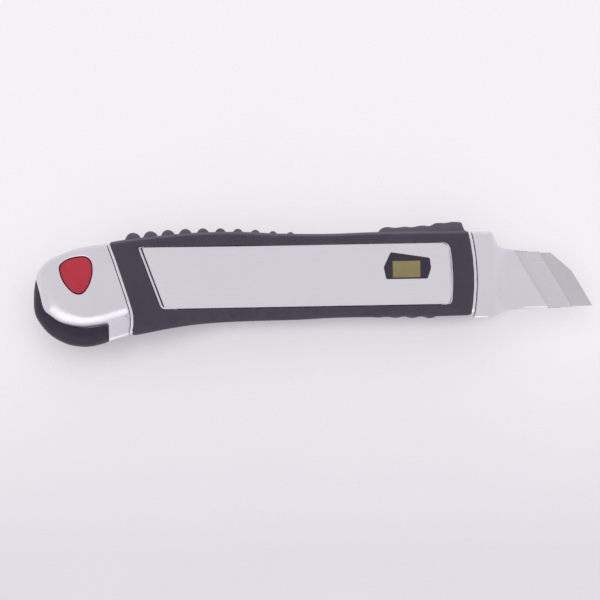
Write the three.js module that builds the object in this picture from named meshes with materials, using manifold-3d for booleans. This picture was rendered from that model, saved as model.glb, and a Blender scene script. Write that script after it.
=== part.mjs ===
// A heavy-duty 18 mm snap-off knife with a die-cast handle, rubber grips, a thumb slider with a
// ratchet lock, and a magazine of spare blades that pulls out of the tail on a red release button.
//
// Millimetres. The knife lies flat: +X runs along it to the blade's point, +Y to the blade's
// spine, +Z up out of the side with the face panel. The origin is on the surface it rests on,
// under the middle of its footprint. The blade's centreline is Y = 0.

import * as THREE from "three";
import { mergeVertices } from "three/addons/utils/BufferGeometryUtils.js";
import Module from "manifold-3d";

const wasm = await Module();
wasm.setup();

// ---- Driving dimensions ----------------------------------------------------------------------

const THICKNESS = 20;
const PART_PLANE = THICKNESS / 2; // where the two halves of the handle meet
const GAP = 0.1; // between parts that are fixed together
const REACH = 60; // larger than any half-width, for cutting shapes

// The blade: 100 x 18 x 0.5 mm, scored at 60 degrees every 10 mm.
const BLADE_WIDTH = 18;
const BLADE_HALF = BLADE_WIDTH / 2;
const BLADE_LENGTH = 100;
const BLADE_THICKNESS = 0.5;
const BLADE_POINT_X = 93.5;
const BLADE_TAIL_X = BLADE_POINT_X - BLADE_LENGTH;
const SCORE_LEAN = Math.tan(Math.PI / 6); // forward run of a score line per mm of width
const BLADE_HOLE_RADIUS = 2.75;
const BLADE_HOLE_X = 4.2;

// Heights of the layers inside the handle, from the slider side up.
const GRIP_SKIN = 2.2; // rubber over the shells' flat faces
const SHELL_LOW = GRIP_SKIN;
const SHELL_HIGH = THICKNESS - GRIP_SKIN;
const WELL_FLOOR = 3.0; // the recess that the thumb slider runs in
const INNER_FLOOR = 4.2;
const INNER_CEILING = 16.3;
const CARRIER_LOW = 4.45;
const CARRIER_HIGH = 6.25;
const BLADE_LOW = 6.5;
const BLADE_HIGH = BLADE_LOW + BLADE_THICKNESS;
const CHANNEL_BASE_LOW = 7.3;
const CHANNEL_HIGH = 7.7;
const TRAY_LOW = 8.1;
const TRAY_FLOOR = 8.9;
const TRAY_HIGH = 12.6;
const PANEL_HIGH = 19.2;

// Widths across the blade, from the centreline.
const CHANNEL_INNER = 9.1;
const CHANNEL_OUTER = 9.4;
const CHANNEL_WELL = 9.5;
const TRAY_INNER = 9.15;
const TRAY_OUTER = 9.6;
const TRAY_WELL = 9.8;
const SPINE_SKIN = 2.6; // rubber on the spine side of the shells
const EDGE_SKIN = 0.8; // rubber on the cutting-edge side

// Travel of the moving pieces, also stated in the record.
const SLIDER_BACK = 22;
const SLIDER_FORWARD = 42;

// The thumb slider at the position where one segment of blade stands out.
const SLIDER_REAR = -20;
const SLIDER_FRONT = 4;
const SLIDER_HALF = 6.5;
const SLIDER_LOW = 0.5;
const SLIDER_HIGH = 2.8;
const LOCK_X = (SLIDER_REAR + SLIDER_FRONT) / 2;
const LOCK_HALF = [4, 3.3];
const LOCK_STEM_RADIUS = 1;
const SLOT_HALF = 2.6;

// ---- Outlines --------------------------------------------------------------------------------

// The handle's outer lines, rear to front: the spine side and the cutting-edge side.
const SPINE_LINE = [
  [-78, 13.2], [-67, 15.1], [-57.5, 16.3], [-44, 17.4], [-33, 17.8], [-22, 17.6], [-11, 16.9],
  [5, 16.5], [22, 16.8], [60, 16.8],
];
const EDGE_LINE = [
  [-78, -17.6], [-61, -16.3], [-48, -14.15], [-38, -12.9], [-25, -12.25], [-5, -12],
  [8, -11.55], [28, -11.6], [40, -11.65], [60, -11.4],
];

// The slanted line where the tail cap meets the handle, spine side first.
const PARTING_LINE = [
  [-73.6, 29], [-68.6, 14.2], [-66.4, 7.9], [-61.9, -6.5], [-61.2, -11], [-61.6, -15.4], [-63, -22],
];
const RIM_WIDTH = 0.85; // the bright rim of the shells that shows at each end of the rubber
const RIM_INSET = 0.35; // how far the rims stay below the rubber
const JOINT_GAP = 0.25; // the dark gap between the handle and the tail cap or the nose
const RUBBER_FROM_PARTING = JOINT_GAP + RIM_WIDTH + GAP;

// The handle's front end is an arc across it.
const FRONT_RADIUS = 70;
const FRONT_CENTRE = [-16.4, 1];

// The tail's outer line, from the spine side round the end to the cutting-edge side.
const TAIL_LINE = [
  [-55, 15.6], [-68.6, 14.5], [-77.6, 13.3], [-84.3, 11.1], [-89.4, 8.3], [-92.3, 4],
  [-93.4, -1.5], [-93.4, -6.8], [-92.2, -10.6], [-88.3, -15.45], [-82.6, -18.75], [-76.5, -19.85],
  [-71.5, -19.1], [-67, -17.7], [-61.5, -16.2], [-55, -15],
];
const BUMPER_INNER_LINE = [
  [-92.6, 3.2], [-91.4, -1.5], [-90.2, -7], [-88.1, -9.4], [-84.1, -12], [-78.1, -13.4],
  [-73.1, -13.2], [-68.5, -12.6],
];
const BUMPER_FRONT_X = -68.5;

const BUTTON_CENTRE = [-78.7, 4.1];
const BUTTON_LINE = [
  [-84.5, 6.3], [-83.4, 2.4], [-80.4, -1.3], [-77.4, -2.1], [-75, 0.3], [-73.6, 4.4], [-73.7, 8.1],
  [-75.2, 10.1], [-77.8, 10.4], [-81.2, 9.7], [-83.8, 8.1],
];

const points = (pairs) => pairs.map(([x, y]) => new THREE.Vector2(x, y));

function spline(pairs, steps) {
  return new THREE.SplineCurve(points(pairs)).getPoints(steps);
}

function moved(pairs, dx, dy) {
  return pairs.map(([x, y]) => [x + dx, y + dy]);
}

function roundedRectangle(x0, x1, y0, y1, radius) {
  const shape = new THREE.Shape();
  shape.absarc(x0 + radius, y0 + radius, radius, Math.PI, 1.5 * Math.PI);
  shape.absarc(x1 - radius, y0 + radius, radius, 1.5 * Math.PI, 2 * Math.PI);
  shape.absarc(x1 - radius, y1 - radius, radius, 0, 0.5 * Math.PI);
  shape.absarc(x0 + radius, y1 - radius, radius, 0.5 * Math.PI, Math.PI);
  return shape;
}

// X of the handle's front arc at a height y across the knife.
function frontX(y) {
  const [cx, cy] = FRONT_CENTRE;
  return cx + Math.sqrt(FRONT_RADIUS ** 2 - (y - cy) ** 2);
}

// The strip between the spine line and the edge line, drawn in by the given skins.
function handleStrip(spineSkin, edgeSkin) {
  const spine = spline(moved(SPINE_LINE, 0, -spineSkin), 24);
  const edge = spline(moved(EDGE_LINE, 0, edgeSkin), 21);
  return new THREE.Shape([...edge, ...spine.reverse()]);
}

// The stretch of handle between the parting line and the front arc, each moved forward.
function handleStretch(rearShift, frontShift) {
  const rear = spline(moved(PARTING_LINE, rearShift, 0), 15);
  const front = [];
  for (let y = -22; y <= 28; y += 5) {
    front.push(new THREE.Vector2(frontX(y) + frontShift, y));
  }
  return new THREE.Shape([...rear, ...front]);
}

// The window in the rubber for the face panel has the same slants as the handle's two ends, and
// a bright rim of the shell in each end.
const WINDOW_REAR_X = -53.7; // on the centreline
const WINDOW_FRONT_INSET = 6.8; // behind the front arc
const END_RIM = 1;
const PANEL_CLEARANCE = 0.4;

// The window's outline with its ends drawn in and its long edges moved out.
function panelShape(endInset, grow) {
  const top = 13.05 + grow;
  const bottom = -7.9 - grow;
  const corner = 1.6;
  const topFrontCorner = 2.5;
  const rearAt = (y) => WINDOW_REAR_X - 0.36 * y + endInset;
  const frontAt = (y) => frontX(y) - WINDOW_FRONT_INSET - endInset;
  const shape = new THREE.Shape();
  shape.moveTo(rearAt(bottom) + corner, bottom);
  shape.lineTo(frontAt(bottom) - corner, bottom);
  shape.quadraticCurveTo(frontAt(bottom), bottom, frontAt(bottom + corner), bottom + corner);
  shape.quadraticCurveTo(frontAt(1) + 0.6, 1, frontAt(top - topFrontCorner), top - topFrontCorner);
  shape.quadraticCurveTo(frontAt(top), top, frontAt(top) - topFrontCorner, top);
  shape.lineTo(rearAt(top) + corner, top);
  shape.quadraticCurveTo(rearAt(top), top, rearAt(top - corner), top - corner);
  shape.lineTo(rearAt(bottom + corner), bottom + corner);
  shape.quadraticCurveTo(rearAt(bottom), bottom, rearAt(bottom) + corner, bottom);
  return shape;
}

// ---- Solids ----------------------------------------------------------------------------------

function solid(geometry) {
  const bare = geometry.index ? geometry.toNonIndexed() : geometry.clone();
  for (const name of Object.keys(bare.attributes)) {
    if (name !== "position") {
      bare.deleteAttribute(name);
    }
  }
  const merged = mergeVertices(bare, 1e-4);
  return new wasm.Manifold(
    new wasm.Mesh({
      numProp: 3,
      vertProperties: new Float32Array(merged.attributes.position.array),
      triVerts: new Uint32Array(merged.index.array),
    }),
  );
}

// A shape in the XY plane made solid from zLow to zHigh, its outer edges rounded by `round`.
// The larger roundings take more facets.
function plate(shape, zLow, zHigh, round = 0, curveSegments = 4) {
  const geometry = new THREE.ExtrudeGeometry(shape, {
    depth: zHigh - zLow - 2 * round,
    bevelEnabled: round > 0,
    bevelSize: round,
    bevelThickness: round,
    bevelOffset: -round,
    bevelSegments: round > 1 ? 4 : 2,
    curveSegments,
  });
  return solid(geometry.translate(0, 0, zLow + round));
}

function block(x0, x1, y0, y1, z0, z1) {
  const geometry = new THREE.BoxGeometry(x1 - x0, y1 - y0, z1 - z0);
  return solid(geometry.translate((x0 + x1) / 2, (y0 + y1) / 2, (z0 + z1) / 2));
}

function peg(x, y, radius, z0, z1, sides = 16) {
  const geometry = new THREE.CylinderGeometry(radius, radius, z1 - z0, sides);
  return solid(geometry.rotateX(Math.PI / 2).translate(x, y, (z0 + z1) / 2));
}

// A side view in X and Z made solid across the knife, centred on Y = 0.
function sidePlate(shape, width) {
  const geometry = new THREE.ExtrudeGeometry(shape, { depth: width, bevelEnabled: false });
  return solid(geometry.rotateX(Math.PI / 2).translate(0, width / 2, 0));
}

// A bowed strip of spring steel along X, its ends at endZ and its middle at middleZ.
function leafSpring(x, halfLength, endZ, middleZ, thickness, width) {
  const side = (dz) => new THREE.QuadraticBezierCurve(
    new THREE.Vector2(x - halfLength, endZ + dz),
    new THREE.Vector2(x, 2 * middleZ - endZ + dz),
    new THREE.Vector2(x + halfLength, endZ + dz),
  ).getPoints(10);
  return sidePlate(new THREE.Shape([...side(0), ...side(thickness).reverse()]), width);
}

const union = (...solids) => solids.reduce((all, next) => all.add(next));
const cut = (body, ...tools) => tools.reduce((left, tool) => left.subtract(tool), body);
const belowPart = () => block(-2 * REACH, 2 * REACH, -REACH, REACH, -REACH, PART_PLANE - GAP / 2);
const abovePart = () => block(-2 * REACH, 2 * REACH, -REACH, REACH, PART_PLANE + GAP / 2, REACH);

function geometryOf(body) {
  const mesh = body.getMesh();
  const geometry = new THREE.BufferGeometry();
  geometry.setAttribute("position", new THREE.BufferAttribute(mesh.vertProperties, 3));
  geometry.setIndex(new THREE.BufferAttribute(mesh.triVerts, 1));
  geometry.computeVertexNormals();
  return geometry;
}

// ---- Materials -------------------------------------------------------------------------------

const finish = (color, roughness, metalness) => ({ color, roughness, metalness });
const ZINC = finish(0xcfcdd4, 0.35, 0.85);
const PANEL = finish(0xd0ced6, 0.3, 0.8);
const RUBBER = finish(0x48454f, 0.75, 0);
const BLACK_PLASTIC = finish(0x2c2b30, 0.5, 0);
const RED_PLASTIC = finish(0xb8283c, 0.4, 0);
const GREY_PLASTIC = finish(0x6d6f74, 0.55, 0);
const BLADE_STEEL = finish(0xbdb8bf, 0.25, 1);
const SPRING_STEEL = finish(0x9a9ba0, 0.3, 1);
const LABEL_INK = finish(0x3a3440, 0.5, 0);

const knife = new THREE.Group();

function add(name, body, look) {
  const mesh = new THREE.Mesh(geometryOf(body), new THREE.MeshStandardMaterial(look));
  mesh.name = name;
  knife.add(mesh);
}

// ---- Screws and their places -------------------------------------------------------------------

const CASE_SCREWS = [[-46, 12.4], [-8, 11.9], [48, 11.7], [-55.2, -12.2]];
const CAP_SCREWS = [[-83, -4.5], [-68.5, -4.5]];
const SCREW = { headRadius: 1.7, headHeight: 1.3, shankRadius: 0.9, recess: 1.75 };

function screw(x, y, headLow, tipHigh) {
  const head = peg(x, y, SCREW.headRadius, headLow, headLow + SCREW.headHeight);
  const shank = peg(x, y, SCREW.shankRadius, headLow, tipHigh, 12);
  const drive = block(x - 0.25, x + 0.25, y - 1.1, y + 1.1, headLow - 1, headLow + 0.6);
  const crossDrive = block(x - 1.1, x + 1.1, y - 0.25, y + 0.25, headLow - 1, headLow + 0.6);
  return cut(union(head, shank), drive, crossDrive);
}

// The hole that a screw needs, from below the outer face up to its tip.
function screwHole(x, y, headLow, tipHigh) {
  const counterbore = peg(x, y, SCREW.recess + GAP, headLow - 3, headLow + SCREW.headHeight + GAP);
  const bore = peg(x, y, SCREW.shankRadius + GAP, headLow, tipHigh + GAP, 12);
  return union(counterbore, bore);
}

const CASE_HEAD_LOW = SHELL_LOW + 0.2;
const CASE_TIP = 15.2;
const CAP_HEAD_LOW = 0.9;
const CAP_TIP = 16.5;

// ---- Handle: shells, grips, panel ----------------------------------------------------------------

// The two shells as one casting, before it is parted into halves.
function shellCasting() {
  const stretch = plate(handleStretch(JOINT_GAP, GAP + RIM_WIDTH), -5, 25);
  const core = plate(handleStrip(SPINE_SKIN, EDGE_SKIN), SHELL_LOW, SHELL_HIGH).intersect(stretch);
  const flange = plate(handleStrip(RIM_INSET, RIM_INSET), RIM_INSET, THICKNESS - RIM_INSET, 2.4);
  const covered = plate(handleStretch(RUBBER_FROM_PARTING - GAP, GAP), -5, 25);
  const rims = flange.intersect(stretch).subtract(covered);
  const bladeWell = block(-54, 51.4, -CHANNEL_WELL, CHANNEL_WELL, INNER_FLOOR, CHANNEL_HIGH + 0.3);
  const frontSlot = block(51, 60, -CHANNEL_WELL, CHANNEL_WELL, 5.9, CHANNEL_HIGH + 0.3);
  const magazineWell = block(-80, 36.8, -TRAY_WELL, TRAY_WELL, CHANNEL_HIGH + 0.2, INNER_CEILING);
  const frontHollow = block(36, 49.5, -TRAY_WELL, 9.2, CHANNEL_HIGH + 0.2, INNER_CEILING);
  const nosePocket = block(44.6, 60, 9.9, 13.3, 7.8, 13.2);
  const holes = CASE_SCREWS.map(([x, y]) => screwHole(x, y, CASE_HEAD_LOW, CASE_TIP));
  return cut(
    union(core, rims), bladeWell, frontSlot, magazineWell, frontHollow, nosePocket, ...holes,
  );
}

function sliderWell(halfWidth, margin, zHigh) {
  const rear = SLIDER_REAR - SLIDER_BACK - margin;
  const front = SLIDER_FRONT + SLIDER_FORWARD + margin;
  return plate(roundedRectangle(rear, front, -halfWidth, halfWidth, 3), -5, zHigh);
}

function lowerShell(casting) {
  const slotRear = SLIDER_REAR + 3 - SLIDER_BACK - 0.5;
  const slotFront = SLIDER_FRONT - 3 + SLIDER_FORWARD + 0.5;
  const slot = block(slotRear, slotFront, -SLOT_HALF, SLOT_HALF, 0, INNER_FLOOR + 1);
  return cut(casting.intersect(belowPart()), sliderWell(7.4, 0.9, WELL_FLOOR), slot);
}

function upperShell(casting) {
  const endRims = cut(
    plate(panelShape(GAP, -GAP), SHELL_HIGH - 0.5, PANEL_HIGH),
    plate(panelShape(END_RIM, 3), SHELL_HIGH, PANEL_HIGH + 1),
  );
  return union(casting.intersect(abovePart()), endRims);
}

// Ten half-round ribs along the spine, smaller and lower towards the front.
const RIB_COUNT = 10;
const RIB_FIRST_X = -59.9;
const RIB_PITCH = 5.85;

function ribs() {
  const line = new THREE.SplineCurve(points(SPINE_LINE));
  const all = [];
  for (let i = 0; i < RIB_COUNT; i += 1) {
    const x = RIB_FIRST_X + i * RIB_PITCH;
    const radius = 2.5 - 0.14 * i;
    const height = 2 - 0.155 * i;
    const y = heightAt(line, x) + height - radius;
    all.push(peg(x, y, radius, 3.4, THICKNESS - 3.4, 20));
  }
  return union(...all);
}

// Y of a line that runs along X, at a given X.
function heightAt(line, x) {
  let low = 0;
  let high = 1;
  for (let i = 0; i < 30; i += 1) {
    const middle = (low + high) / 2;
    if (line.getPoint(middle).x < x) {
      low = middle;
    } else {
      high = middle;
    }
  }
  return line.getPoint(low).y;
}

// The finger rest near the nose: three shallow waves that step up to the front.
function fingerRest() {
  const crest = [
    [21.9, 16.2], [23.3, 18.1], [25.3, 18.5], [27.8, 18.2], [31, 18.5], [33.4, 18.3], [37, 18.8],
    [39.2, 18.6], [41.4, 19.5], [44.5, 19.5], [46.7, 19.8], [49.2, 19.7], [50.5, 18.9], [50.8, 16.2],
  ];
  return plate(new THREE.Shape(spline(crest, 32)), 3.6, THICKNESS - 3.6);
}

function gripCasting() {
  const stretch = plate(handleStretch(RUBBER_FROM_PARTING, 0), -5, 25);
  const skin = plate(handleStrip(0, 0), 0, THICKNESS, 2.8);
  const lining = plate(
    handleStrip(SPINE_SKIN - GAP, EDGE_SKIN - GAP), SHELL_LOW - GAP, SHELL_HIGH + GAP,
  );
  return cut(union(skin, ribs(), fingerRest()).intersect(stretch), lining);
}

function lowerGrip(casting) {
  const holes = CASE_SCREWS.map(([x, y]) => peg(x, y, SCREW.recess + 0.3, -1, SHELL_LOW + 1));
  return cut(casting.intersect(belowPart()), sliderWell(7.5, 1, SHELL_LOW + 0.5), ...holes);
}

function upperGrip(casting) {
  const window = plate(panelShape(0, 0), SHELL_HIGH - 1, THICKNESS + 1);
  return cut(casting.intersect(abovePart()), window);
}

function facePanel() {
  return plate(panelShape(END_RIM + PANEL_CLEARANCE, -GAP), SHELL_HIGH + GAP, PANEL_HIGH, 0.3);
}

// A blank two-tone label with no lettering, in place of the maker's print.
function panelLabel() {
  const outline = points([[24.4, 1], [23.6, 5], [26, 10], [39, 7.9], [39.4, 4.5], [38.2, 1]]);
  return plate(new THREE.Shape(outline), PANEL_HIGH + GAP / 2, PANEL_HIGH + 0.2);
}

// ---- Nose and blade channel --------------------------------------------------------------------

const NOSE_REAR_SHIFT = GAP + RIM_WIDTH + JOINT_GAP;
const TONGUE_END_X = 73.7;
const TONGUE_FACE_X = 68;
const SHEATH_END_X = 76.1;

// Everything behind a line that leans forward like the blade's score lines, and crosses the
// spine side of the blade at spineX.
function behindLean(spineX, zLow, zHigh) {
  const atSpine = spineX - (REACH - BLADE_HALF) * SCORE_LEAN;
  const atEdge = spineX + (REACH + BLADE_HALF) * SCORE_LEAN;
  const outline = [[-200, -REACH], [atEdge, -REACH], [atSpine, REACH], [-200, REACH]];
  return plate(new THREE.Shape(points(outline)), zLow, zHigh);
}

function noseOutline() {
  const shape = new THREE.Shape();
  shape.moveTo(52, -12.6);
  shape.lineTo(58.8, -12.6);
  shape.bezierCurveTo(61.2, -12.2, 62.6, -10.4, 66, -9.95);
  shape.lineTo(TONGUE_END_X, -9.7);
  shape.lineTo(90, -9.7);
  shape.lineTo(90, 9.7);
  shape.lineTo(TONGUE_END_X, 9.7);
  shape.lineTo(66.4, 10.3);
  shape.bezierCurveTo(61.8, 10.5, 61.6, 12, 60.8, 13.9);
  shape.quadraticCurveTo(60.2, 16.4, 58.8, 16.4);
  shape.lineTo(52, 16.4);
  return shape;
}

// Side view of the nose: thick where it meets the handle, sloping down to the thin tongue.
function noseSide() {
  const profile = [
    [52, 2.2], [57.5, 2.2], [60.2, 3], [65.5, 4.9], [90, 4.9], [90, 9.2], [69, 9.7],
    [65.3, 11.9], [61.2, 16.3], [58, 18.4], [52, 18.4],
  ];
  return sidePlate(new THREE.Shape(points(profile)), 40);
}

function noseBlock() {
  const handleSide = plate(handleStretch(-100, NOSE_REAR_SHIFT), -5, 25);
  const body = plate(noseOutline(), 0, THICKNESS, 0).intersect(noseSide()).subtract(handleSide);
  const lug = block(45, 56, 10.2, 13, 8.1, 12.9);
  const slot = block(40, 100, -9.5, 9.5, 5.9, CHANNEL_HIGH + 0.2);
  const [screwX, screwY] = CASE_SCREWS[2];
  const screwPath = peg(screwX, screwY, SCREW.shankRadius + 0.2, 0, 20, 12);
  const aheadOfTongue = block(50, 100, -20, 20, 0, 20).subtract(behindLean(TONGUE_END_X, -5, 25));
  const aheadOfFace = block(50, 100, -20, 20, CHANNEL_HIGH, 20)
    .subtract(behindLean(TONGUE_FACE_X, -5, 25));
  return cut(union(body, lug), slot, screwPath, aheadOfTongue, aheadOfFace);
}

// A folded steel channel that guides the blade's back and both its edges, from inside the
// handle to the slanted end that segments are snapped against. The lock's notches are cut in
// its spine flange.
const NOTCH_PITCH = 5;
const NOTCH_FIRST_X = -30;
const NOTCH_COUNT = 15;

function bladeChannel() {
  const outer = block(-48, 95, -CHANNEL_OUTER, CHANNEL_OUTER, 4.5, CHANNEL_HIGH);
  const inner = block(-60, 100, -CHANNEL_INNER, CHANNEL_INNER, 0, CHANNEL_BASE_LOW);
  const shallowFront = block(50.8, 100, -REACH, REACH, 0, 6.2);
  const notches = [];
  for (let i = 0; i < NOTCH_COUNT; i += 1) {
    const x = NOTCH_FIRST_X + i * NOTCH_PITCH;
    notches.push(block(x - 1.5, x + 1.5, CHANNEL_INNER - 0.5, REACH, 4, 5.6));
  }
  const folded = cut(outer, inner, shallowFront, ...notches);
  return folded.intersect(behindLean(SHEATH_END_X, -5, 25));
}

// ---- Slider, lock and blade -----------------------------------------------------------------------

// A blade moved by dx, with the spine corner of its first segment clipped at about 41 degrees.
function bladeSolid(dx, zLow) {
  const lean = BLADE_WIDTH * SCORE_LEAN;
  const shape = new THREE.Shape();
  shape.moveTo(BLADE_TAIL_X + dx, BLADE_HALF);
  shape.lineTo(BLADE_TAIL_X + lean + dx, -BLADE_HALF);
  shape.lineTo(BLADE_POINT_X + dx, -BLADE_HALF);
  shape.lineTo(86.7 + dx, 2.8);
  shape.lineTo(79.7 + dx, BLADE_HALF);
  const hole = new THREE.Path();
  hole.absarc(BLADE_HOLE_X + dx, 0, BLADE_HOLE_RADIUS, 0, 2 * Math.PI, true);
  shape.holes.push(hole);
  return plate(shape, zLow, zLow + BLADE_THICKNESS);
}

function thumbSlider() {
  const outline = roundedRectangle(SLIDER_REAR, SLIDER_FRONT, -SLIDER_HALF, SLIDER_HALF, 3);
  const body = plate(outline, SLIDER_LOW, SLIDER_HIGH, 0.5);
  const posts = [SLIDER_REAR + 3, SLIDER_FRONT - 7].map((x) =>
    block(x, x + 4, -SLOT_HALF + 0.4, SLOT_HALF - 0.4, SLIDER_HIGH - 0.5, CARRIER_LOW - GAP / 2));
  const [halfX, halfY] = LOCK_HALF;
  const opening = block(LOCK_X - halfX - 0.3, LOCK_X + halfX + 0.3, -halfY - 0.3, halfY + 0.3, 0, 4);
  const grooves = [];
  for (let x = SLIDER_REAR + 2; x < SLIDER_FRONT - 1; x += 1.9) {
    if (x < LOCK_X - halfX - 1 || x > LOCK_X + halfX + 1) {
      grooves.push(block(x - 0.4, x + 0.4, -5.6, 5.6, 0, SLIDER_LOW + 0.7));
    }
  }
  return cut(union(body, ...posts), opening, ...grooves);
}

function sliderCarrier() {
  const body = block(-24, 9, -8.9, 8.9, CARRIER_LOW, CARRIER_HIGH);
  const pawlGap = block(LOCK_X - 2.4, LOCK_X + 2.4, -2.6, 10, 0, 10);
  const pinHole = peg(BLADE_HOLE_X, 0, 2.45, 0, 10);
  return cut(body, pawlGap, pinHole);
}

function lockButton() {
  const [halfX, halfY] = LOCK_HALF;
  const outline = roundedRectangle(LOCK_X - halfX, LOCK_X + halfX, -halfY, halfY, 1);
  const head = plate(outline, 0.6, 1.8, 0.25, 3);
  return union(head, peg(LOCK_X, 0, LOCK_STEM_RADIUS, 1.5, 4.6));
}

function lockPawl() {
  return block(LOCK_X - 2, LOCK_X + 2, -2, 8.9, 4.65, 5.25);
}

function coil(x, y, zLow, zHigh, radius, wire, turns) {
  const rise = zHigh - zLow - wire;
  class Helix extends THREE.Curve {
    getPoint(t, target = new THREE.Vector3()) {
      const angle = 2 * Math.PI * turns * t;
      const z = zLow + wire / 2 + rise * t;
      return target.set(x + radius * Math.cos(angle), y + radius * Math.sin(angle), z);
    }
  }
  const section = new THREE.Shape();
  section.absarc(0, 0, wire / 2, 0, 2 * Math.PI);
  const steps = Math.round(turns * 10);
  return solid(new THREE.ExtrudeGeometry(section, {
    steps, extrudePath: new Helix(), curveSegments: 3, bevelEnabled: false,
  }));
}

// ---- Tail cap, magazine and release ---------------------------------------------------------------

const CAP_LOW = 0.5;
const CAP_HIGH = THICKNESS - 0.5;
const CAP_WALL = 1.8;
const CAP_ROOF = CAP_HIGH - CAP_WALL;

const BUMPER_LOW = 3.2;
const BUMPER_HIGH = THICKNESS - BUMPER_LOW;

// The whole tail as one rounded block that ends at the slanted parting line.
function tailCasting(zLow, zHigh) {
  const outline = new THREE.Shape(spline(TAIL_LINE, 40));
  const aheadOfParting = plate(handleStretch(0, 60), -5, 25);
  return plate(outline, zLow, zHigh, 3).subtract(aheadOfParting);
}

// Everything outside the bumper's inner line and behind its front end.
function bumperSide() {
  const shape = new THREE.Shape([
    ...spline(BUMPER_INNER_LINE, 24),
    ...points([[BUMPER_FRONT_X, -30], [-110, -30], [-96, 14]]),
  ]);
  return plate(shape, -5, 25);
}

// Everything on the metal side of that line, with a round shoulder along it.
function metalSide() {
  const front = BUMPER_FRONT_X + GAP;
  const shape = new THREE.Shape([
    ...spline(moved(BUMPER_INNER_LINE, GAP / 2, GAP), 24),
    ...points([[front, -40], [0, -40], [0, 60], [-110, 60], [-96 + GAP, 14]]),
  ]);
  return plate(shape, CAP_LOW, CAP_HIGH, 3);
}

function capCasting() {
  const outside = tailCasting(CAP_LOW, CAP_HIGH).intersect(metalSide());
  // The hollow keeps a wall inside the outline and opens towards the handle.
  const hollow = new THREE.Shape(spline([
    [-50, 12.2], [-68, 12.6], [-77, 11.9], [-83.4, 9.8], [-87.6, 6.4], [-89.2, 1], [-88.2, -4.6],
    [-85.5, -8.3], [-78, -10.8], [-68, -10.6], [-50, -10.2],
  ], 40));
  const innerLow = CAP_LOW + CAP_WALL;
  const cavity = plate(hollow, innerLow, CAP_ROOF);
  const bosses = CAP_SCREWS.map(([x, y]) => union(
    peg(x, y, 2.1, innerLow - 0.5, TRAY_LOW - GAP),
    peg(x, y, 2.1, TRAY_HIGH + GAP, CAP_ROOF + 0.5),
  ));
  const holes = CAP_SCREWS.map(([x, y]) => screwHole(x, y, CAP_HEAD_LOW, CAP_TIP));
  return cut(union(outside.subtract(cavity), ...bosses), ...holes);
}

function scaledButton(factor) {
  const [cx, cy] = BUTTON_CENTRE;
  const pairs = BUTTON_LINE.map(([x, y]) => [cx + (x - cx) * factor, cy + (y - cy) * factor]);
  const curve = new THREE.CatmullRomCurve3(
    pairs.map(([x, y]) => new THREE.Vector3(x, y, 0)), true, "centripetal",
  );
  return new THREE.Shape(curve.getPoints(24).slice(0, -1).map((p) => new THREE.Vector2(p.x, p.y)));
}

const BUTTON_HIGH = 19.75;
const FLANGE_HIGH = 16.9;
const FLANGE_LOW = 15.9;

function releaseButton() {
  const key = plate(scaledButton(0.95), FLANGE_HIGH - 0.5, BUTTON_HIGH, 0.35);
  return union(key, plate(scaledButton(1.1), FLANGE_LOW, FLANGE_HIGH));
}

// A hook on the button's underside that reaches forward under the upper shell's ceiling.
function releaseLatch() {
  const arm = block(-76.4, -57.5, -1.4, 3.4, 14.6, 15.8);
  return union(arm, block(-59.3, -57.5, -1.4, 3.4, 15.5, 16.1));
}

function magazineTray() {
  const outer = block(-66.8, 36.4, -TRAY_OUTER, TRAY_OUTER, TRAY_LOW, TRAY_HIGH);
  const inner = block(-65.5, 35.4, -TRAY_INNER, TRAY_INNER, TRAY_FLOOR, TRAY_HIGH + 1);
  const thumbNotch = peg(-48, -TRAY_OUTER, 5, 0, 20, 24);
  const root = block(-84.8, -66, -6.8, 7, TRAY_LOW, TRAY_HIGH);
  const screwPaths = CAP_SCREWS.map(([x, y]) => peg(x, y, SCREW.shankRadius + 0.2, 0, 20, 12));
  return cut(union(outer, root), inner, thumbNotch, ...screwPaths);
}

const SPARE_COUNT = 5;
const SPARE_PITCH = 0.6;
const SPARE_SHIFT = -58.6; // from the working blade's place back to the stack's

// ---- The knife ---------------------------------------------------------------------------------

const shells = shellCasting();
const grips = gripCasting();
const cap = capCasting();
const buttonHole = plate(scaledButton(1.01), CAP_ROOF - 1, CAP_HIGH + 1);

add("upper_shell", upperShell(shells), ZINC);
add("lower_shell", lowerShell(shells), ZINC);
add("upper_grip", upperGrip(grips), RUBBER);
add("lower_grip", lowerGrip(grips), RUBBER);
add("face_panel", facePanel(), PANEL);
add("panel_label", panelLabel(), LABEL_INK);
add("nose_block", noseBlock(), ZINC);
add("blade_channel", bladeChannel(), SPRING_STEEL);
add("magazine_spring", leafSpring(0, 24, 16.1, 12.75, 0.15, 8), SPRING_STEEL);
CASE_SCREWS.forEach(([x, y], i) => {
  add("case_screw_" + (i + 1), screw(x, y, CASE_HEAD_LOW, CASE_TIP), SPRING_STEEL);
});

add("blade", bladeSolid(0, BLADE_LOW), BLADE_STEEL);
add("thumb_slider", thumbSlider(), BLACK_PLASTIC);
add("slider_carrier", sliderCarrier(), GREY_PLASTIC);
add("blade_pin", peg(BLADE_HOLE_X, 0, 2.35, CARRIER_LOW + 0.1, BLADE_HIGH + 0.1), SPRING_STEEL);
add("lock_button", lockButton(), BLACK_PLASTIC);
add("lock_pawl", lockPawl(), SPRING_STEEL);
add("lock_spring", coil(LOCK_X, 0, 1.9, 4.35, 1.5, 0.35, 3), SPRING_STEEL);

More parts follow.
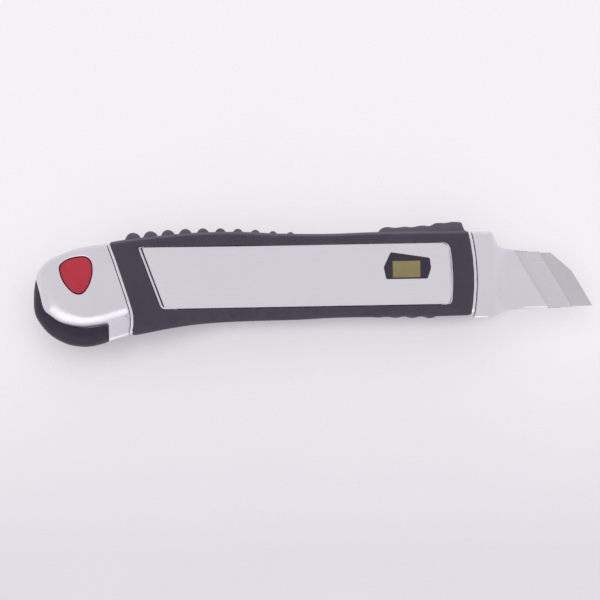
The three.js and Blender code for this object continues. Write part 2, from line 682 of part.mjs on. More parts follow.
add("tail_cap_upper", cut(cap.intersect(abovePart()), buttonHole), ZINC);
add("tail_cap_lower", cap.intersect(belowPart()), ZINC);
add("tail_bumper", tailCasting(BUMPER_LOW, BUMPER_HIGH).intersect(bumperSide()), RUBBER);
add("magazine_tray", magazineTray(), GREY_PLASTIC);
for (let i = 0; i < SPARE_COUNT; i += 1) {
  const zLow = TRAY_FLOOR + 0.1 + i * SPARE_PITCH;
  add("spare_blade_" + (i + 1), bladeSolid(SPARE_SHIFT, zLow), BLADE_STEEL);
}
CAP_SCREWS.forEach(([x, y], i) => {
  add("cap_screw_" + (i + 1), screw(x, y, CAP_HEAD_LOW, CAP_TIP), SPRING_STEEL);
});
add("release_button", releaseButton(), RED_PLASTIC);
add("release_latch", releaseLatch(), GREY_PLASTIC);
add("release_spring", coil(-79.6, 5, TRAY_HIGH + 0.1, FLANGE_LOW - 0.1, 2, 0.5, 3), SPRING_STEEL);

export default knife;
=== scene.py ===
"""Looks for a heavy-duty snap-off knife: satin die-cast metal, moulded rubber and ground steel.

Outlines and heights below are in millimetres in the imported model's frame: +X to the blade's point,
+Y to the blade's spine, +Z up out of the side with the face panel. Meshes are made in metres.
"""

import math

import bmesh
import bpy
import numpy as np
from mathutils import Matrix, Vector, geometry


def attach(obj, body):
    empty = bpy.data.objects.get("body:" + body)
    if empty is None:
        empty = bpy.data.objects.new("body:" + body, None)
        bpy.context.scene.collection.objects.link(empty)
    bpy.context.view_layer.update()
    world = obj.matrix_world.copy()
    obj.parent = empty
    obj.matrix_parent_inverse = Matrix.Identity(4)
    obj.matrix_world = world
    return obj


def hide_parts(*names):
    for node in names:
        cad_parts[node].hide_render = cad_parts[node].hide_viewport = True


MM = 0.001
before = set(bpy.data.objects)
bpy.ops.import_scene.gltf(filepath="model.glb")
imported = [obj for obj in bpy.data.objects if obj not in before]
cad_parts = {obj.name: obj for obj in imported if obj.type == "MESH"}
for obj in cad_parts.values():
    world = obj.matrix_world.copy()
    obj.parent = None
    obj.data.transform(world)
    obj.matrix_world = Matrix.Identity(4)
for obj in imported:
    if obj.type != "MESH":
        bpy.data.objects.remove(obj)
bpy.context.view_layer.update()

# ---- Dimensions ----------------------------------------------------------------------------------

THICKNESS = 20.0
SEAM = THICKNESS / 2 + 0.05  # each half stops this far from the other face

SPINE_LINE = [
    (-78, 13.2), (-67, 15.1), (-57.5, 16.3), (-44, 17.4), (-33, 17.8), (-22, 17.6), (-11, 16.9),
    (5, 16.5), (22, 16.8), (60, 16.8),
]
EDGE_LINE = [
    (-78, -17.6), (-61, -16.3), (-48, -14.15), (-38, -12.9), (-25, -12.25), (-5, -12), (8, -11.55),
    (28, -11.6), (40, -11.65), (60, -11.4),
]
PARTING_LINE = [
    (-73.6, 29), (-68.6, 14.2), (-66.4, 7.9), (-61.9, -6.5), (-61.2, -11), (-61.6, -15.4), (-63, -22),
]
FRONT_RADIUS = 70.0
FRONT_CENTRE = (-16.4, 1.0)
JOINT_GAP = 0.25
RIM_WIDTH = 0.85
GRIP_REAR = JOINT_GAP + RIM_WIDTH + 0.1
NOSE_REAR = RIM_WIDTH + 0.1 + JOINT_GAP

RIB_COUNT = 10
RIB_FIRST_X = -59.9
RIB_PITCH = 5.85
RIB_RADIUS, RIB_RADIUS_STEP = 2.5, 0.14  # of the rearmost rib, and how much less the next one has
RIB_HEIGHT, RIB_HEIGHT_STEP = 2.0, 0.155
FINGER_REST = [
    (21.7, 16.4), (23.1, 17.95), (25.1, 18.45), (27.7, 18.15), (30.9, 18.45), (33.3, 18.25),
    (36.6, 18.75), (39.2, 18.55), (41.3, 19.45), (44.4, 19.45), (46.6, 19.77), (48.9, 19.68),
    (50.0, 19.2), (50.7, 16.4),
]
PALM_DIMPLES = [-52.4, -46.4, -39.9, -33.2, -26.4, -20.3, -14.2, -8.2]
FINGER_DIMPLES = [18.5, 24.4, 30.2, 35.9]
DIMPLE_HALF_LENGTH, DIMPLE_HALF_WIDTH = 1.9, 1.7
DIMPLE_DEPTH = 0.6
DIMPLE_FROM_EDGE = 2.2
EDGE_RIBS = [21.5, 27.3, 33.0, 38.8]
EDGE_RIB_HEIGHT, EDGE_RIB_HEIGHT_STEP = 0.2, 0.13
EDGE_RIB_HALF_WIDTH = 2.1
GRIP_LINING_Z = 17.9
# How far in from the spine edge the painted highlight on the rubber reaches.
PAINTED_SHEEN_WIDTH = 0.8

PANEL_TOP_LINE = [(80, 13.15), (-25, 13.15), (-80, 13.5)]
PANEL_BOTTOM_Y = -7.9
PANEL_HIGH = 19.2
WINDOW_REAR_X = -53.7
WINDOW_FRONT_INSET = 6.7
REAR_RIM_WIDTH, REAR_RIM_GAP = 0.88, 0.52
FRONT_RIM_WIDTH, FRONT_RIM_GAP = 0.5, 0.4
PANEL_SIDE_GAP = 0.1
LABEL_OUTLINE = [(24.4, 1), (38.2, 1), (39.4, 4.5), (39, 7.9), (26, 10), (23.6, 5)]

TAIL_TOP = [
    (-55, 15.6), (-68.6, 14.5), (-77.6, 13.3), (-84.3, 11.1), (-89.4, 8.3), (-92.3, 4), (-93.4, -1.5),
    (-93.4, -6.8),
]
TAIL_BOTTOM = [
    (-93.4, -1.5), (-93.4, -6.8), (-92.2, -10.6), (-88.3, -15.45), (-82.6, -18.75), (-76.5, -19.8),
    (-71.5, -19.1), (-67, -17.7), (-61.5, -16.2), (-55, -15),
]
SHOULDER_FOOT = [
    (-94.4, 9), (-92.6, 3.2), (-91.4, -1.5), (-90.2, -7), (-88.1, -9.4), (-84.1, -12), (-78.1, -13.4),
    (-73.1, -13.2), (-68.5, -12.4), (-64.5, -11.2), (-56, -8.9),
]
SHOULDER_TOP = [
    (-97, 10), (-90.4, 5.5), (-88.3, 0.5), (-86, -4), (-82.4, -7.2), (-78, -9.1), (-74.5, -9.3),
    (-71, -8.7), (-67, -7.6), (-56, -5),
]
BUMPER_FRONT_X = -68.5
BUMPER_HIGH = 16.6
CAP_HIGH = 19.5
CAP_CEILING = 17.2
SHOULDER_DROP = 3.5
LEDGE_TOP_Y = -9.0  # the cap's rim is rounded more above this, and less on the ledge below it
RIM_ROUND, LEDGE_ROUND = 2.2, 1.0
CAP_HOLLOW = [
    (-50, 12.2), (-68, 12.6), (-77, 11.9), (-83.4, 9.8), (-87.6, 6.4), (-89.2, 1), (-88.2, -4.6),
    (-85.5, -8.3), (-78, -10.8), (-68, -10.6), (-50, -10.2),
]
BUTTON_CENTRE = (-78.7, 4.1)
BUTTON_LINE = [
    (-84.5, 6.3), (-83.4, 2.4), (-80.4, -1.3), (-77.4, -2.1), (-75.0, 0.3), (-73.6, 4.4), (-73.7, 8.1),
    (-75.2, 10.1), (-77.8, 10.4), (-81.2, 9.7), (-83.8, 8.1),
]

BLADE_HALF = 9.0
BLADE_POINT_X = 93.5
BLADE_LENGTH = 100.0
BLADE_LOW = 6.5
BLADE_THICKNESS = 0.5
LEAN = math.tan(math.radians(30))
SEGMENT = 10.0
SCORE_DEPTH, SCORE_HALF_WIDTH = 0.14, 0.16
GROUND_Y = -7.0  # where the ground edge meets the flat of the blade
GROUND_DEPTH = 0.22
SPARE_COUNT = 5
SPARE_SHIFT = -58.6
SPARE_LOW = 9.0
SPARE_PITCH = 0.6

NOSE_BOTTOM_Y = -12.6
UPPER_TONGUE_X = 68.0  # where the two leaves of the tongue end, at the blade's spine
LOWER_TONGUE_X = 72.2
TONGUE_HALF = 9.53
SPLIT = 6.9
SLOT_HALF = 9.44
SLOT_FLOOR, SLOT_CEILING = 5.9, 7.9

# ---- Lines in the plane --------------------------------------------------------------------------


CURVE_STEPS = 16  # points that a smooth line has for each one that it is drawn through


def curve(points, closed=False):
    """A smooth line through the points."""
    p = np.array(points, float)
    n = len(p)
    rows = []
    t = np.linspace(0, 1, CURVE_STEPS, endpoint=False)[:, None]
    for i in range(n if closed else n - 1):
        a = p[i - 1] if closed or i > 0 else p[0]
        b = p[i]
        c = p[(i + 1) % n]
        d = p[(i + 2) % n] if closed or i + 2 < n else p[-1]
        rows.append(0.5 * (
            2 * b + (c - a) * t + (2 * a - 5 * b + 4 * c - d) * t**2 + (3 * b - a - 3 * c + d) * t**3
        ))
    if not closed:
        rows.append(p[-1:])
    return np.vstack(rows)


def lengths(line):
    """How far along the line each of its points is."""
    return np.concatenate([[0], np.cumsum(np.linalg.norm(np.diff(line, axis=0), axis=1))])


def along(line, where):
    """The points at these lengths along a line."""
    s = lengths(line)
    return np.stack([np.interp(where, s, line[:, 0]), np.interp(where, s, line[:, 1])], axis=-1)


def spaced(line, step, closed=False):
    """The same line with its points a step apart."""
    if closed:
        line = np.vstack([line, line[:1]])
    total = lengths(line)[-1]
    where = np.linspace(0, total, max(3, round(total / step)) + 1)
    return along(line, where[:-1] if closed else where)


def turned(v):
    return np.stack([-v[..., 1], v[..., 0]], axis=-1)


def cross(a, b):
    return a[..., 0] * b[..., 1] - a[..., 1] * b[..., 0]


def crossing(a, b):
    """How far along line a, and along line b, they first cross."""
    p, r = a[:-1, None], np.diff(a, axis=0)[:, None]
    q, s = b[None, :-1], np.diff(b, axis=0)[None]
    area = cross(r, s)
    area = np.where(np.abs(area) < 1e-12, 1e-12, area)
    t = cross(q - p, s) / area
    u = cross(q - p, r) / area
    i, j = np.argwhere((t >= 0) & (t <= 1) & (u >= 0) & (u <= 1))[0]
    return (
        lengths(a)[i] + t[i, j] * np.linalg.norm(r[i]),
        lengths(b)[j] + u[i, j] * np.linalg.norm(s[0, j]),
    )


def outline(lines, radii, step):
    """A closed outline, counterclockwise, from lines that cross in turn. Corner i, between line i
    and the next, is rounded by radii[i]."""
    n = len(lines)
    cuts = [crossing(lines[i], lines[(i + 1) % n]) for i in range(n)]
    pieces = []
    for i in range(n):
        start = cuts[i - 1][1] + radii[i - 1]
        end = cuts[i][0] - radii[i]
        pieces.append(along(lines[i], np.linspace(start, end, max(1, round((end - start) / step)) + 1)))
        corner = along(lines[i], cuts[i][0])
        leave = along(lines[(i + 1) % n], cuts[i][1] + radii[i])
        t = np.linspace(0, 1, max(3, round(1.6 * radii[i] / step)) + 1)[1:-1, None]
        pieces.append((1 - t) ** 2 * pieces[-1][-1] + 2 * t * (1 - t) * corner + t**2 * leave)
    return np.vstack(pieces)


def gap(points, line, closed=False):
    """Distance from each point to a line."""
    if closed:
        line = np.vstack([line, line[:1]])
    a, r = line[:-1], np.diff(line, axis=0)
    size = np.maximum((r**2).sum(1), 1e-12)
    out = []
    for some in np.array_split(points, max(1, len(points) // 2000)):
        away = some[:, None] - a[None]
        t = np.clip((away * r).sum(2) / size, 0, 1)
        out.append(np.sqrt(((away - t[..., None] * r) ** 2).sum(2).min(1)))
    return np.concatenate(out)


def inside(points, loop):
    """Whether each point lies in a closed loop."""
    x, y = points[:, 0, None], points[:, 1, None]
    x0, y0 = loop[:, 0], loop[:, 1]
    x1, y1 = np.roll(x0, -1), np.roll(y0, -1)
    rise = np.where(y1 == y0, 1e-12, y1 - y0)
    hit = ((y0 > y) != (y1 > y)) & (x < (x1 - x0) * (y - y0) / rise + x0)
    return hit.sum(1) % 2 == 1


def beyond(points, line, far):
    """Whether each point is on the side of a line where the far corners are."""
    return inside(points, np.vstack([line, far]))


def rounding(distance, width, drop):
    """How far an edge rounded as a quarter ellipse has dropped at a distance in from the edge."""
    left = np.clip(1 - distance / width, 0, 1)
    return drop * (1 - np.sqrt(1 - left**2))


def ring_steps(width, count):
    """Distances in from an edge at which its rounding is sampled, and one just past it that keeps
    the face behind it flat."""
    steps = [width * (1 - math.cos(math.pi / 2 * (i + 1) / count)) for i in range(count)]
    return [*steps, width + max(0.12, 0.08 * width)]


# ---- Meshes from the plane -----------------------------------------------------------------------


def normals(loop):
    """Unit vectors into the material, for a loop with its material on the left."""
    tangent = np.roll(loop, -1, axis=0) - np.roll(loop, 1, axis=0)
    return turned(tangent / np.linalg.norm(tangent, axis=1)[:, None])


def sheet(loops, creases, rings, cell):
    """Triangles over a region: loops[0] is its outline and the rest its holes. Points are placed on
    the creases, at each ring's distance in from every loop, and a cell apart in between.
    Returns the points, the triangles, and the numbers of each loop's points."""
    # The triangulator works in single precision, and the tests below have to agree with it.
    loops = [loop.astype(np.float32).astype(float) for loop in loops]
    points = [p for loop in loops for p in loop]
    edges = []
    start = 0
    for loop in loops:
        count = len(loop)
        edges += [(start + i, start + (i + 1) % count) for i in range(count)]
        start += count
    for line in creases:
        edges += [(start + i, start + i + 1) for i in range(len(line) - 1)]
        points += list(line)
        start += len(line)

    def clearance(some):
        return np.min([gap(some, loop, closed=True) for loop in loops], axis=0)

    def within(some):
        hit = inside(some, loops[0])
        for hole in loops[1:]:
            hit &= ~inside(some, hole)
        return hit

    for distance in rings:
        for loop in loops:
            ring = loop + normals(loop) * distance
            keep = within(ring) & (clearance(ring) > 0.96 * distance)
            points += list(ring[keep])
    low, high = loops[0].min(0), loops[0].max(0)
    xs, ys = np.meshgrid(
        np.arange(low[0], high[0], cell), np.arange(low[1], high[1], cell * 0.87), indexing="ij"
    )
    xs = xs + (np.arange(xs.shape[1]) % 2) * cell / 2
    field = np.stack([xs.ravel(), ys.ravel()], axis=1)
    field = field[within(field)]
    field = field[clearance(field) > (rings[-1] if rings else 0) + 0.4 * cell]
    for line in creases:
        field = field[gap(field, line) > 0.3 * cell]
    points += list(field)

    made = geometry.delaunay_2d_cdt([tuple(map(float, p)) for p in points], edges, [], 0, 1e-5)
    plan = np.array([tuple(v) for v in made[0]])
    place = {old: new for new, olds in enumerate(made[3]) for old in olds}
    triangles = np.array(made[2])
    a, b, c = plan[triangles[:, 0]], plan[triangles[:, 1]], plan[triangles[:, 2]]
    area = cross(b - a, c - a)
    keep = within((a + b + c) / 3) & (np.abs(area) > 1e-9)
    triangles = np.where(area[:, None] < 0, triangles[:, ::-1], triangles)[keep]
    numbers = []
    start = 0
    for loop in loops:
        numbers.append([place[start + i] for i in range(len(loop))])
        start += len(loop)
    return plan, triangles, numbers


def relief(loops, top, bottom, rings=(), cell=3.0, creases=(), under=(), rows=1, bulge=None):
    """A closed body over a region: its upper surface is top(points) high and its underside
    bottom(points). bulge(points, heights) moves the outer wall outwards, in `rows` rows.
    Holes run clockwise. Returns vertices and faces, in millimetres."""
    plan, triangles, numbers = sheet(loops, creases, rings, cell)
    vertices = list(np.column_stack([plan, top(plan)]))
    faces = [tuple(t) for t in triangles]
    base = len(vertices)
    lower_loops = list(loops)
    if bulge is not None:
        lower_loops[0] = loops[0] - normals(loops[0]) * bulge(loops[0], bottom(loops[0]))[:, None]
    lower_plan, lower_triangles, lower_numbers = sheet(lower_loops, under, (), 12.0)
    vertices += list(np.column_stack([lower_plan, bottom(lower_plan)]))
    faces += [tuple(base + i for i in t[::-1]) for t in lower_triangles]
    for k, loop in enumerate(loops):
        count = len(loop)
        levels = [numbers[k]]
        z_top, z_bottom = top(loop), bottom(loop)
        for row in range(1, rows):
            z = z_top + (z_bottom - z_top) * row / rows
            ring = loop
            if bulge is not None and k == 0:
                ring = loop - normals(loop) * bulge(loop, z)[:, None]
            levels.append(list(range(len(vertices), len(vertices) + count)))
            vertices += list(np.column_stack([ring, z]))
        levels.append([base + i for i in lower_numbers[k]])
        for upper, lower in zip(levels, levels[1:]):
            for i in range(count):
                j = (i + 1) % count
                faces.append((lower[i], lower[j], upper[j], upper[i]))
    return np.array(vertices, float), faces


def flipped(body):
    """The same body on the other face of the knife."""
    vertices, faces = body
    vertices = vertices * (1, 1, -1) + (0, 0, THICKNESS)
    return vertices, [f[::-1] for f in faces]


def together(*bodies):
    vertices, faces, start = [], [], 0
    for v, f in bodies:
        vertices.append(v)
        faces += [tuple(start + i for i in face) for face in f]
        start += len(v)
    return np.vstack(vertices), faces


def show(name, body, rides_on, look, stands_for=(), crease=32):
    """Makes a piece of the object from vertices and faces in millimetres."""
    vertices, faces = body
    mesh = bpy.data.meshes.new(name)
    mesh.from_pydata([tuple(v) for v in vertices * MM], [], [tuple(map(int, f)) for f in faces])
    mesh.validate()
    return placed(name, mesh, rides_on, look, stands_for, crease)


def placed(name, mesh, rides_on, look, stands_for, crease):
    mesh.materials.clear()
    mesh.materials.append(look)
    mesh.shade_smooth()
    mesh.set_sharp_from_angle(angle=math.radians(crease))
    piece = bpy.data.objects.new(name, mesh)
    bpy.context.scene.collection.objects.link(piece)
    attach(piece, rides_on)
    if stands_for:
        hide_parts(*stands_for)
    return piece


def softened(node, rides_on, look, edge=0.12, pressed=None, flat=True):
    """A CAD node's own shape with its flat facets made whole and its edges broken. pressed is a coil's
    fixed height and travel in millimetres, and draws the coil as short as its button can press it.
    flat keeps the shading of large faces from bending towards their edges."""
    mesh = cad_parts[node].data.copy()
    mesh.name = node + "_shown"
    if pressed:
        fixed, travel = pressed[0] * MM, pressed[1] * MM
        length = max(abs(vertex.co.z - fixed) for vertex in mesh.vertices)
        for vertex in mesh.vertices:
            vertex.co.z = fixed + (vertex.co.z - fixed) * (1 - travel / length)
    bm = bmesh.new()
    bm.from_mesh(mesh)
    bmesh.ops.remove_doubles(bm, verts=bm.verts, dist=0.5e-6)
    bmesh.ops.dissolve_limit(bm, angle_limit=math.radians(0.6), verts=bm.verts, edges=bm.edges)
    if edge:
        sharp = [e for e in bm.edges if e.is_manifold and e.calc_face_angle() > math.radians(38)]
        bmesh.ops.bevel(
            bm, geom=sharp, offset=edge * MM, segments=2, profile=0.6, affect="EDGES", clamp_overlap=True
        )
    bm.to_mesh(mesh)
    bm.free()
    piece = placed(node + "_shown", mesh, rides_on, look, (node,), 40)
    if flat:
        piece.modifiers.new("flat_faces", "WEIGHTED_NORMAL").keep_sharp = True


# ---- Finishes ------------------------------------------------------------------------------------


def ranged(value, low, high, to_low, to_high):
    """A shader's value, taken from one range to another."""
    tree = value.id_data
    node = tree.nodes.new("ShaderNodeMapRange")
    sockets = ("From Min", "From Max", "To Min", "To Max")
    for socket, number in zip(sockets, (low, high, to_low, to_high)):
        node.inputs[socket].default_value = number
    tree.links.new(value, node.inputs["Value"])
    return node.outputs["Result"]


def finish(
    name, dark, light, rough, metallic=0.0, clouds=9.0, grain=0.4, depth=0.01, stretch=(1, 1, 1),
    pits=0.0, wear=None, scratches=0.0, coat=0.0, specular=0.5,
):
    """A surface that varies between two tints and two roughnesses. clouds and grain are the sizes of
    the large and the fine pattern in millimetres, and depth is the height of the fine one. pits adds
    moulded texture, wear lightens the edges, and scratches are thin lines that catch the light."""
    material = bpy.data.materials.new(name)
    material.use_nodes = True
    nodes, links = material.node_tree.nodes, material.node_tree.links
    shader = nodes["Principled BSDF"]
    shader.inputs["Metallic"].default_value = metallic
    shader.inputs["Coat Weight"].default_value = coat
    shader.inputs["Coat Roughness"].default_value = 0.15
    shader.inputs["Specular IOR Level"].default_value = specular
    where = nodes.new("ShaderNodeTexCoord").outputs["Object"]

    def noise(size, detail=3.0, squeeze=(1, 1, 1), rough_detail=0.55):
        mapping = nodes.new("ShaderNodeMapping")
        mapping.inputs["Scale"].default_value = [s / (size * MM) for s in squeeze]
        links.new(where, mapping.inputs["Vector"])
        texture = nodes.new("ShaderNodeTexNoise")
        texture.inputs["Scale"].default_value = 1.0
        texture.inputs["Detail"].default_value = detail
        texture.inputs["Roughness"].default_value = rough_detail
        links.new(mapping.outputs["Vector"], texture.inputs["Vector"])
        return texture.outputs["Fac"]

    def mixed(fac, a, b):
        node = nodes.new("ShaderNodeMix")
        node.data_type = "RGBA"
        for socket, value in ((node.inputs[0], fac), (node.inputs[6], a), (node.inputs[7], b)):
            if isinstance(value, tuple):
                socket.default_value = (*value, 1)
            else:
                links.new(value, socket)
        return node.outputs[2]

    fine = noise(grain, squeeze=stretch)
    cloud = noise(clouds, 4.0)
    colour = mixed(ranged(cloud, 0.3, 0.7, 0, 1), dark, light)
    colour = mixed(ranged(fine, 0.35, 0.75, 0, 0.35), colour, tuple(min(1, 1.18 * c) for c in light))
    roughness = ranged(noise(clouds * 0.35, 5.0), 0.3, 0.7, rough[0], rough[1])
    height = ranged(fine, 0.25, 0.75, 0, 1)
    if pits:
        cells = nodes.new("ShaderNodeTexVoronoi")
        cells.feature = "F1"
        cells.inputs["Scale"].default_value = 1 / (pits * MM)
        links.new(where, cells.inputs["Vector"])
        add = nodes.new("ShaderNodeMath")
        add.operation = "MULTIPLY_ADD"
        links.new(cells.outputs["Distance"], add.inputs[0])
        add.inputs[1].default_value = -0.9
        links.new(height, add.inputs[2])
        height = add.outputs[0]
    if wear:
        edge = ranged(nodes.new("ShaderNodeNewGeometry").outputs["Pointiness"], 0.52, 0.6, 0, 0.75)
        patch = nodes.new("ShaderNodeMath")
        patch.operation = "MULTIPLY"
        links.new(edge, patch.inputs[0])
        links.new(ranged(noise(2.2, 4.0), 0.35, 0.6, 0.15, 1), patch.inputs[1])
        colour = mixed(patch.outputs[0], colour, wear)
    if scratches:
        line = ranged(noise(1.4, 2.0, (0.05, 1.0, 1.0), 0.7), 0.69, 0.72, 0, scratches)
        colour = mixed(line, colour, tuple(min(1, 1.35 * c) for c in light))
    links.new(colour, shader.inputs["Base Color"])
    links.new(roughness, shader.inputs["Roughness"])
    bump = nodes.new("ShaderNodeBump")
    bump.inputs["Strength"].default_value = 1.0
    bump.inputs["Distance"].default_value = depth * MM
    links.new(height, bump.inputs["Height"])
    links.new(bump.outputs["Normal"], shader.inputs["Normal"])
    return material


SILVER = finish(
    "satin_silver", (0.705, 0.685, 0.735), (0.74, 0.72, 0.77), (0.30, 0.36), metallic=0.92, clouds=16,
    grain=0.16, depth=0.0014, wear=(0.88, 0.88, 0.9),
)
PANEL = finish(
    "brushed_panel", (0.735, 0.715, 0.765), (0.765, 0.745, 0.795), (0.32, 0.37), metallic=0.92, clouds=30,
    grain=0.12, depth=0.0012, stretch=(0.03, 1, 1), scratches=0.10,
)
RUBBER = finish(
    "moulded_rubber", (0.036, 0.032, 0.051), (0.049, 0.043, 0.066), (0.58, 0.70), clouds=9, grain=0.5,
    depth=0.035, pits=0.45, wear=(0.10, 0.095, 0.12), specular=0.42,
)
# A lighter copy of the rubber, which paints a highlight along the spine side.
RUBBER_PAINTED_SHEEN = finish(
    "rubber_painted_sheen", (0.072, 0.062, 0.092), (0.092, 0.080, 0.112), (0.5, 0.62), clouds=6, grain=0.5,
    depth=0.03, pits=0.45, wear=(0.13, 0.12, 0.15), specular=0.5,
)
BUMPER = finish(
    "bumper_rubber", (0.018, 0.014, 0.030), (0.026, 0.021, 0.039), (0.44, 0.56), clouds=7, grain=0.4,
    depth=0.012, wear=(0.07, 0.065, 0.085), specular=0.34,
)
RED = finish(
    "red_plastic", (0.40, 0.012, 0.030), (0.47, 0.018, 0.040), (0.28, 0.36), clouds=5, grain=0.3,
    depth=0.004, coat=0.15, specular=0.4,
)
BLADE = finish(
    "ground_steel", (0.60, 0.558, 0.60), (0.64, 0.605, 0.64), (0.27, 0.33), metallic=1.0, clouds=12,
    grain=0.11, depth=0.0022, stretch=(1, 0.04, 1), scratches=0.3,
)
CHANNEL = finish(
    "rolled_steel", (0.66, 0.64, 0.685), (0.70, 0.68, 0.725), (0.30, 0.36), metallic=1.0, clouds=14,
    grain=0.14, depth=0.002, stretch=(0.05, 1, 1), scratches=0.25,
)
SPRING = finish(
    "bright_spring_steel", (0.55, 0.55, 0.57), (0.64, 0.64, 0.66), (0.2, 0.3), metallic=1.0, clouds=4,
    grain=0.1, depth=0.001,
)
ZINC_PLATE = finish(
    "zinc_plated_screws", (0.52, 0.52, 0.54), (0.66, 0.66, 0.66), (0.26, 0.4), metallic=1.0, clouds=1.2,
    grain=0.1, depth=0.002, wear=(0.8, 0.8, 0.8),
)
BLACK_PLASTIC = finish(
    "spark_textured_plastic", (0.022, 0.022, 0.026), (0.034, 0.034, 0.038), (0.42, 0.55), clouds=6,
    grain=0.22, depth=0.012, pits=0.25, wear=(0.07, 0.07, 0.075),
)
GREY_PLASTIC = finish(
    "moulded_grey_plastic", (0.125, 0.128, 0.138), (0.155, 0.158, 0.168), (0.4, 0.55), clouds=10, grain=0.3,
    depth=0.006, wear=(0.25, 0.25, 0.26),
)
LABEL_DARK = finish(
    "label_ink", (0.022, 0.018, 0.034), (0.030, 0.025, 0.044), (0.4, 0.5), clouds=6, grain=0.1, depth=0.001,
    specular=0.35,
)
LABEL_GOLD = finish(
    "label_gold", (0.24, 0.20, 0.085), (0.29, 0.245, 0.11), (0.36, 0.46), metallic=0.5, clouds=4, grain=0.1,
    depth=0.001,
)

# ---- Handle: rubber grips ------------------------------------------------------------------------

spine = curve(SPINE_LINE)
edge = curve(EDGE_LINE)
parting = curve(PARTING_LINE)
crest = curve(FINGER_REST)


def front_arc(shift, low=-22.0, high=28.0):
    y = np.linspace(low, high, 101)
    cx, cy = FRONT_CENTRE
    return np.stack([cx + shift + np.sqrt(FRONT_RADIUS**2 - (y - cy) ** 2), y], axis=1)


def spine_y(x):
    return np.interp(x, spine[:, 0], spine[:, 1])


def edge_y(x):
    return np.interp(x, edge[:, 0], edge[:, 1])


def panel_outline(rear_inset, front_inset, grow, step=0.5):
    """The panel window's outline, with its ends slanted like the handle's. The ends are drawn in by
    the insets and the long edges moved out by grow."""
    y = np.array([-20.0, 25.0])
    rear = np.stack([WINDOW_REAR_X - 0.36 * y + rear_inset, y], axis=1)
    bottom = np.array([(-80.0, PANEL_BOTTOM_Y - grow), (80.0, PANEL_BOTTOM_Y - grow)])
    top = np.array(PANEL_TOP_LINE) + (0, grow)
    front = front_arc(-WINDOW_FRONT_INSET - front_inset, -20, 25)
    return outline([bottom, front, top, rear[::-1]], [1.5, 2.6, 1.2, 1.5], step)


def round_window(z, half, end):
    """1 around the middle of the knife's thickness, falling to 0 in a rounded end."""
    away = np.clip((np.abs(z - THICKNESS / 2) - half) / end, 0, 1)
    return np.sqrt(1 - away**2)


def grip_bulge(points, z):
    """The ribs and the finger rest on the spine side, and four low ribs on the edge side."""
    x = points[:, 0]
    ribs = np.zeros(len(x))
    for i in range(RIB_COUNT):
        radius = RIB_RADIUS - RIB_RADIUS_STEP * i
        height = RIB_HEIGHT - RIB_HEIGHT_STEP * i
        across = np.clip(radius**2 - (x - RIB_FIRST_X - i * RIB_PITCH) ** 2, 0, None)
        ribs = np.maximum(ribs, np.sqrt(across) - radius + height)
    rest = np.interp(x, crest[:, 0], crest[:, 1], left=0, right=0) - spine_y(x)
    low_ribs = np.zeros(len(x))
    for i, centre in enumerate(EDGE_RIBS):
        height = EDGE_RIB_HEIGHT + EDGE_RIB_HEIGHT_STEP * i
        low_ribs = np.maximum(low_ribs, height * (1 - ((x - centre) / EDGE_RIB_HALF_WIDTH) ** 2))
    on_spine = np.maximum(
        ribs * round_window(z, 5.3, 1.3), np.clip(rest, 0, None) * round_window(z, 5.1, 1.3)
    )
    on_edge = low_ribs * round_window(z, 4.5, 2.5)
    return np.where(points[:, 1] > 0, on_spine, on_edge)


def grip_dimples(points):
    """Shallow oval dimples along the cutting-edge side of the rubber's face."""
    x, y = points[:, 0], points[:, 1]
    depth = np.zeros(len(x))
    for centre in PALM_DIMPLES + FINGER_DIMPLES:
        from_centre = y - edge_y(x) - DIMPLE_FROM_EDGE
        across = ((x - centre) / DIMPLE_HALF_LENGTH) ** 2 + (from_centre / DIMPLE_HALF_WIDTH) ** 2
        depth = np.maximum(depth, DIMPLE_DEPTH * np.clip(1 - across, 0, 1) ** 1.5)
    return depth


SIDE_ROUND = 2.8
grip_rear = parting + (GRIP_REAR, 0)
grip_front = front_arc(0)
grip_loop = outline([edge, grip_front, spine[::-1], grip_rear], [1.2, 1.4, 1.0, 0.8], 0.42)


def grip_skin(openings):
    """The height of the grip's outer face, with an edge round each opening."""

    def height(points):
        drop = rounding(np.minimum(gap(points, spine), gap(points, edge)), SIDE_ROUND, SIDE_ROUND)
        drop = drop + rounding(np.minimum(gap(points, grip_rear), gap(points, grip_front)), 0.4, 0.45)
        for opening in openings:
            drop = drop + rounding(gap(points, opening, closed=True), 0.55, 0.5)
        return THICKNESS - np.minimum(drop + grip_dimples(points), SIDE_ROUND + 0.5)

    return height


def grip_lining(points):
    """The grip's inner face: a shallow roof over the shell and a wall down each side."""
    x, y = points[:, 0], points[:, 1]
    over_shell = (y < spine_y(x) - 2.5) & (y > edge_y(x) + 0.7)
    return np.where(over_shell, GRIP_LINING_Z, SEAM)


lining_x = np.arange(-59.0, 52.0, 2.0)
lining_creases = [
    np.stack([lining_x, line(lining_x) + offset], axis=1)
    for line, offset in ((spine_y, -2.47), (spine_y, -2.53), (edge_y, 0.67), (edge_y, 0.73))
]


def show_grip(name, body, stands_for):
    """Painted highlight: the ribs, the finger rest and a line along the spine edge get a lighter rubber."""
    piece = show(name, body, "handle", RUBBER, stands_for)
    piece.data.materials.append(RUBBER_PAINTED_SHEEN)
    centres = np.array([face.center[:2] for face in piece.data.polygons]) / MM
    inwards = spine_y(centres[:, 0]) - centres[:, 1]
    for face, in_painted_sheen in zip(piece.data.polygons, inwards < PAINTED_SHEEN_WIDTH):
        face.material_index = int(in_painted_sheen)


def grip(openings):
    return relief(
        [grip_loop, *[opening[::-1] for opening in openings]], grip_skin(openings), grip_lining,
        rings=ring_steps(SIDE_ROUND, 7), cell=1.25, under=lining_creases, rows=24, bulge=grip_bulge,
    )


def circle(x, y, radius, count=32):
    angle = np.linspace(0, 2 * math.pi, count, endpoint=False)
    return np.stack([x + radius * np.cos(angle), y + radius * np.sin(angle)], axis=1)


